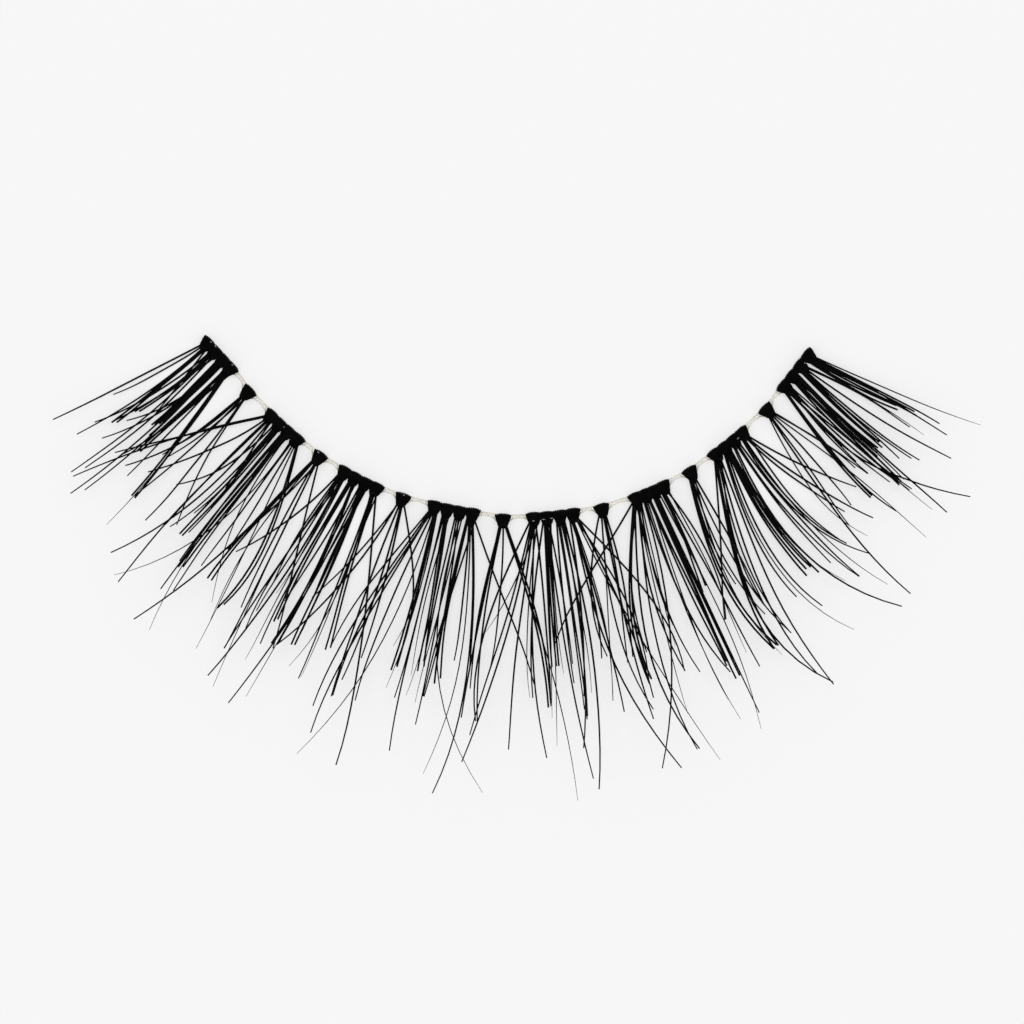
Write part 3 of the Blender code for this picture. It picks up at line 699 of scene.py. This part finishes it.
def hair_line(along, side_step, lock, width_share, taper, height, sizes, dice):
    """The points of one hair with its thickness at each, from inside its knot's neck to its tip."""
    reach = lock.reach * sizes.lash_length
    curl_share = dice.uniform(*CURL_SHARE)
    wave = dice.uniform(-HAIR_WAVE, HAIR_WAVE)
    phase = dice.uniform(0.0, math.tau)
    root_height = height + dice.uniform(-ROOT_RISE, ROOT_RISE) * sizes.hair_width
    root, middle, tip = taper
    line = []
    for number in range(sizes.hair_points):
        share = number / (sizes.hair_points - 1)
        out = ROOT_OUT + (reach - ROOT_OUT) * share
        drift = (4 * lock.middle - lock.tip) * share + (2 * lock.tip - 4 * lock.middle) * share ** 2
        sway = wave * math.sin(phase + WAVE_LENGTH * share) * share
        place = band_point(along + side_step * (1.0 - share) ** 2 + drift * sizes.lash_length + sway,
                           out, root_height + curl(out, sizes) * curl_share)
        if share < 0.5:
            thickness = root + (middle - root) * share * 2
        else:
            thickness = middle + (tip - middle) * (share * 2 - 1) ** 1.5
        line.append((place, thickness * width_share))
    return line


def knot_hairs(along, locks, root_spread, height, sizes, dice):
    """All hairs of one knot: each lock comes apart into its single hairs towards the tips."""
    lines = []
    for order, lock in enumerate(locks):
        bundle_step = root_spread * ((order + 0.5) / len(locks) - 0.5)
        count = max(1, round(lock.hairs))
        for number in range(count):
            apart = number - (count - 1) / 2
            spread = sizes.hair_width / sizes.lash_length * apart
            single = Lock(
                lock.middle + MIDDLE_STEP * spread,
                lock.tip + spread * dice.uniform(*TIP_STEP),
                lock.reach - SHORTER * dice.random() * (number > 0),
                lock.hairs)
            if lock.hairs < 1:
                taper, share = FINE_TAPER, 1.0
            elif lock.hairs > 1:
                taper, share = BLUNT_TAPER, dice.uniform(*BLUNT_WIDTHS)
            else:
                taper, share = PLAIN_TAPER, dice.uniform(*PLAIN_WIDTHS)
            side_step = bundle_step + apart * ROOT_STEP * sizes.hair_width
            line = hair_line(along, side_step, single, share, taper, height, sizes, dice)
            lines.append((dice.random(), line))
    return lines


def squared(value):
    """A sine or cosine of the core's outline, squared off."""
    return math.copysign(abs(value) ** CORE_SQUARED, value)


def knot_core(shape, along, set_out, lift, sizes):
    """The rounded heart of one knot, which its loops are wound over."""
    back = KNOT_BACK - sizes.hair_width
    rings = []
    for row in range(CORE_RINGS):
        share = row / (CORE_RINGS - 1)
        out = -back + (NECK_OUT + back) * share
        drawn = min(max(share * CORE_LATENESS - (CORE_LATENESS - 1.0), 0.0), 1.0)
        half_width = (sizes.knot_width + (sizes.neck_width - sizes.knot_width) * share) / 2
        half_width -= 0.5 * sizes.hair_width
        half_height = (KNOT_HEIGHT / 2 - sizes.hair_width) * (1.0 - CORE_FLATTENING * drawn)
        if row == 0:
            half_width, half_height = CORE_END_WIDTH * half_width, CORE_END_HEIGHT * half_height
        middle = KNOT_HEIGHT / 2 + lift * drawn
        ring = []
        for side in range(CORE_SIDES):
            angle = math.tau * side / CORE_SIDES
            across = half_width * squared(math.cos(angle))
            up = half_height * squared(math.sin(angle))
            ring.append(shape.verts.new(band_point(along + across, out + set_out, middle + up)))
        rings.append(ring)
    for near, far in zip(rings, rings[1:]):
        for side in range(CORE_SIDES):
            after = (side + 1) % CORE_SIDES
            shape.faces.new((near[side], near[after], far[after], far[side]))
    shape.faces.new(reversed(rings[0]))
    shape.faces.new(rings[-1])


def binding_line(along, out, lift, sizes, dice):
    """A hair wound once round a knot's neck, whose two ends stand out a little at its side."""
    half_width = sizes.neck_width / 2
    half_height = TIER_FOOT - BINDING_SINK * sizes.hair_width
    middle = KNOT_HEIGHT / 2 + lift
    start = math.pi * dice.randrange(2) - BINDING_START
    last = BINDING_POINTS - 1
    line = []
    for number in range(BINDING_POINTS):
        turn = start + math.tau * number / (last - 1)
        wider = BINDING_END_WIDTH if number in (0, last) else 1.0
        slant = BINDING_SLANT * sizes.hair_width * (number / last - 0.5)
        line.append((band_point(along + wider * half_width * math.cos(turn), out + slant,
                                middle + half_height * math.sin(turn)), BINDING_THICKNESS))
    return line


def keep(thing, slot, *nodes):
    """Let a finished piece ride on the strip, and hide the solids that it stands for. The slot is not used.
    """
    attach(thing, "root")
    if nodes:
        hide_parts(*nodes)


def keep_shape(name, shape, material, slot, *nodes):
    """Make a smooth piece from a shape, and keep it."""
    for face in shape.faces:
        face.smooth = True
    mesh = bpy.data.meshes.new(name)
    shape.to_mesh(mesh)
    shape.free()
    mesh.materials.append(material)
    thing = bpy.data.objects.new(name, mesh)
    bpy.context.scene.collection.objects.link(thing)
    keep(thing, slot, *nodes)


class LASH_OT_lashes(bpy.types.Operator):
    """Make the single hairs of every cluster of knots"""
    bl_idname = "lash.lashes"
    bl_label = "Lashes"

    def execute(self, context):
        sizes = context.scene.lash_sizes
        material = lash_hair(context.scene.lash_colours)
        tree = strand_tree()
        for number, (name, cluster) in enumerate(CLUSTERS.items()):
            dice = random.Random(100 + number)
            lines = []
            root_spread = sizes.root_spread * (1.0 if len(cluster.knots) > 1 else SINGLE_KNOT_SPREAD)
            for along, locks in zip(knot_places(cluster, sizes), cluster.knots):
                lines += knot_hairs(along, locks, root_spread, neck_height(name), sizes, dice)
            thing = strands(name + "_lashes", lines, tree, sizes.hair_width, sizes.hair_sides, material)
            keep(thing, "black_hair", name)
        return {"FINISHED"}


class LASH_OT_knots(bpy.types.Operator):
    """Wind the knots of every cluster round the two threads"""
    bl_idname = "lash.knots"
    bl_label = "Knots"

    def execute(self, context):
        sizes = context.scene.lash_sizes
        material = wound_hair(context.scene.lash_colours)
        loops_tree = knot_tree()
        bindings_tree = strand_tree()
        for number, (name, cluster) in enumerate(CLUSTERS.items()):
            dice = random.Random(200 + number)
            lift = neck_height(name) - KNOT_HEIGHT / 2
            places = knot_places(cluster, sizes)
            set_out = cluster.set_out * sizes.knot_pitch
            points = bpy.data.meshes.new(name + "_points")
            points.from_pydata([band_point(along, set_out, 0.0) for along in places], [], [])
            headings = [band_place(along)[2] for along in places]
            for title, values in (("heading", headings), ("neck_lift", [lift] * len(places))):
                points.attributes.new(title, "FLOAT", "POINT").data.foreach_set("value", values)
            loops = made_by_tree(name + "_loops", points, loops_tree, {
                "Loops": sizes.knot_loops, "Loop Points": sizes.loop_points,
                "Knot Width": sizes.knot_width, "Neck Width": sizes.neck_width,
                "Knot Height": KNOT_HEIGHT, "Back": KNOT_BACK - sizes.hair_width / 2, "Front": NECK_OUT,
                "Corner Rounding": KNOT_ROUNDING, "Hair Radius": sizes.hair_width / 2,
                "Sides": sizes.hair_sides, "Unevenness": UNEVENNESS, "Material": material})
            lines = [(dice.random(), binding_line(along, set_out + out, lift * share, sizes, dice))
                     for along in places for out, share in BINDINGS]
            bound = strands(
                name + "_bindings", lines, bindings_tree, sizes.hair_width, sizes.hair_sides, material)
            shape = bmesh.new()
            for along in places:
                knot_core(shape, along, set_out, lift, sizes)
            bmesh.ops.recalc_face_normals(shape, faces=shape.faces)
            for part in (loops, bound):
                shape.from_mesh(part.data)
                bpy.data.objects.remove(part)
            keep_shape(name + "_knots", shape, material, "black_hair", name)
        return {"FINISHED"}


def thread_set_out(along, sizes):
    """How far out from the drawn arc the threads lie: as the knots there, and evenly between clusters."""
    stations = [(place, cluster.set_out * sizes.knot_pitch)
                for cluster in CLUSTERS.values() for place in knot_places(cluster, sizes)]
    for (near, first), (far, second) in zip(stations, stations[1:]):
        if along <= far:
            return first + (second - first) * max(along - near, 0.0) / (far - near)
    return stations[-1][1]


def cluster_edges(sizes):
    """The first and the last knot of each cluster along the band, from left to right."""
    return [(places[0], places[-1]) for places in
            (knot_places(cluster, sizes) for cluster in CLUSTERS.values())]


def closeness(along, edges, sizes):
    """From 1 inside a cluster to 0 away from all clusters."""
    gap = min(max(first - along, along - last, 0.0) for first, last in edges)
    return max(0.0, 1.0 - max(0.0, gap - sizes.knot_width / 2) / TIE_THREAD_SHIFT)


class LASH_OT_threads(bpy.types.Operator):
    """Run the two clear threads through the knots, with the turns of thread that lock each cluster"""
    bl_idname = "lash.threads"
    bl_label = "Threads"

    def execute(self, context):
        sizes = context.scene.lash_sizes
        material = clear_nylon(context.scene.lash_colours)
        tree = strand_tree()
        edges = cluster_edges(sizes)
        start = edges[0][0] - sizes.knot_width / 2 - THREAD_END
        end = edges[-1][1] + sizes.knot_width / 2 + THREAD_END
        base, tie = [], []
        for number in range(THREAD_POINTS):
            along = start + (end - start) * number / (THREAD_POINTS - 1)
            near = closeness(along, edges, sizes)
            sway = THREAD_SWAY * math.sin(along * SWAY_RADIANS)
            set_out = thread_set_out(along, sizes)
            base.append((band_point(along, set_out + sway, KNOT_HEIGHT / 2), 1.0))
            out = TIE_THREAD_BETWEEN + (TIE_THREAD_OUT - TIE_THREAD_BETWEEN) * near
            tie.append((band_point(along, set_out + out - sway, KNOT_HEIGHT / 2), 1.0))
        for name, line, width in (("base_thread", base, sizes.base_thread_width),
                                  ("tie_thread", tie, sizes.tie_thread_width)):
            thing = strands(name + "_nylon", [(0.5, line)], tree, width, sizes.thread_sides, material)
            keep(thing, "clear_thread", name)
        turns = []
        gap_sides = [(last, 1.0) for _, last in edges[:-1]] + [(first, -1.0) for first, _ in edges[1:]]
        for knot, side in gap_sides:
            set_out = thread_set_out(knot, sizes)
            turns.append((0.5, [(band_point(knot + side * step, set_out + out, height), TIE_TURN_THICKNESS)
                                for step, out, height in TIE_TURN]))
        thing = strands(
            "tie_turns_nylon", turns, tree, sizes.tie_thread_width, sizes.tie_turn_sides, material)
        keep(thing, "clear_thread")
        return {"FINISHED"}


class LASH_OT_specks(bpy.types.Operator):
    """Leave a few glue specks on the knots and between their necks, painted white as glints: painted
    highlights
    """
    bl_idname = "lash.specks"
    bl_label = "Glue specks"

    def execute(self, context):
        sizes = context.scene.lash_sizes
        dice = random.Random(300)
        shape = bmesh.new()
        for name, knot, beside, out, length in PAINTED_GLINT_SPECKS:
            cluster = CLUSTERS[name]
            along = knot_places(cluster, sizes)[knot - 1] + beside * sizes.knot_pitch
            turned = Matrix.Rotation(band_place(along)[2], 4, "Z")
            flat = Matrix.Diagonal((length / 2, SPECK_WIDTH / 2, SPECK_WIDTH / 2, 1.0))
            place = band_point(along, out + cluster.set_out * sizes.knot_pitch, SPECK_HEIGHT)
            # Each speck is a whitish blob of glue that paints a glint on the knots.
            speck = bmesh.ops.create_icosphere(shape, subdivisions=2, radius=1.0)
            for vert in speck["verts"]:
                vert.co *= dice.uniform(*SPECK_UNEVENNESS)
            bmesh.ops.transform(shape, verts=speck["verts"],
                                matrix=Matrix.Translation(place) @ turned @ flat)
        keep_shape("glue_glint_specks", shape, glue_with_painted_glints(context.scene.lash_colours), "clear_thread")
        return {"FINISHED"}


class LASH_OT_stage(bpy.types.Operator):
    """Lay the floor and set the lights and the camera"""
    bl_idname = "lash.stage"
    bl_label = "Stage"

    def execute(self, context):
        scene = context.scene
        mesh = bpy.data.meshes.new("floor")
        corners = [(FLOOR_HALF * x, FLOOR_HALF * y, 0.0) for x, y in ((-1, -1), (1, -1), (1, 1), (-1, 1))]
        mesh.from_pydata(corners, [], [(0, 1, 2, 3)])
        floor = bpy.data.objects.new("floor", mesh)
        scene.collection.objects.link(floor)
        paint = Shading("floor")
        paint.set(Base_Color=scene.lash_colours.floor, Roughness=0.9, Specular_IOR_Level=0.1,
                  Emission_Color=(1.0, 1.0, 1.0, 1.0), Emission_Strength=FLOOR_GLOW)
        mesh.materials.append(paint.material)

        world = bpy.data.worlds.new("soft_studio")
        world.use_nodes = True
        background = world.node_tree.nodes["Background"]
        background.inputs["Color"].default_value = (1.0, 1.0, 1.0, 1.0)
        background.inputs["Strength"].default_value = SKY_STRENGTH
        scene.world = world
        scene.view_settings.view_transform = "Standard"
        scene.view_settings.look = "None"
        scene.view_settings.exposure = 0.0
        scene.view_settings.gamma = 1.0

        lamp = bpy.data.lights.new("soft_box", "AREA")
        lamp.shape = "SQUARE"
        lamp.size = LAMP_SIZE
        lamp.energy = LAMP_POWER
        lamp_object = bpy.data.objects.new("soft_box", lamp)
        lamp_object.location = LAMP_PLACE
        scene.collection.objects.link(lamp_object)

        camera = bpy.data.cameras.new("camera")
        camera.sensor_width = 36.0
        camera.lens = camera.sensor_width * CAMERA_HEIGHT / PICTURE_WIDTH
        camera.clip_start = 0.01
        camera_object = bpy.data.objects.new("camera", camera)
        camera_object.location = (*PICTURE_MIDDLE, CAMERA_HEIGHT)
        scene.collection.objects.link(camera_object)
        scene.camera = camera_object
        return {"FINISHED"}


class LASH_PT_panel(bpy.types.Panel):
    """The strip's steps, sizes and colours"""
    bl_label = "False eyelash strip"
    bl_idname = "LASH_PT_panel"
    bl_space_type = "VIEW_3D"
    bl_region_type = "UI"
    bl_category = "Lashes"

    def draw(self, context):
        for step in STEPS:
            self.layout.operator(step.bl_idname)
        for group in (context.scene.lash_sizes, context.scene.lash_colours):
            column = self.layout.column()
            for title in group.__annotations__:
                column.prop(group, title)


STEPS = (LASH_OT_stage, LASH_OT_threads, LASH_OT_knots, LASH_OT_lashes, LASH_OT_specks)
CLASSES = (LashSizes, LashColours, *STEPS, LASH_PT_panel)


def register():
    for part in CLASSES:
        bpy.utils.register_class(part)
    bpy.types.Scene.lash_sizes = bpy.props.PointerProperty(type=LashSizes)
    bpy.types.Scene.lash_colours = bpy.props.PointerProperty(type=LashColours)


def unregister():
    del bpy.types.Scene.lash_colours
    del bpy.types.Scene.lash_sizes
    for part in reversed(CLASSES):
        bpy.utils.unregister_class(part)


def main():
    register()
    bpy.ops.lash.stage()
    bpy.ops.lash.threads()
    bpy.ops.lash.knots()
    bpy.ops.lash.lashes()
    bpy.ops.lash.specks()


if __name__ == "__main__":
    main()
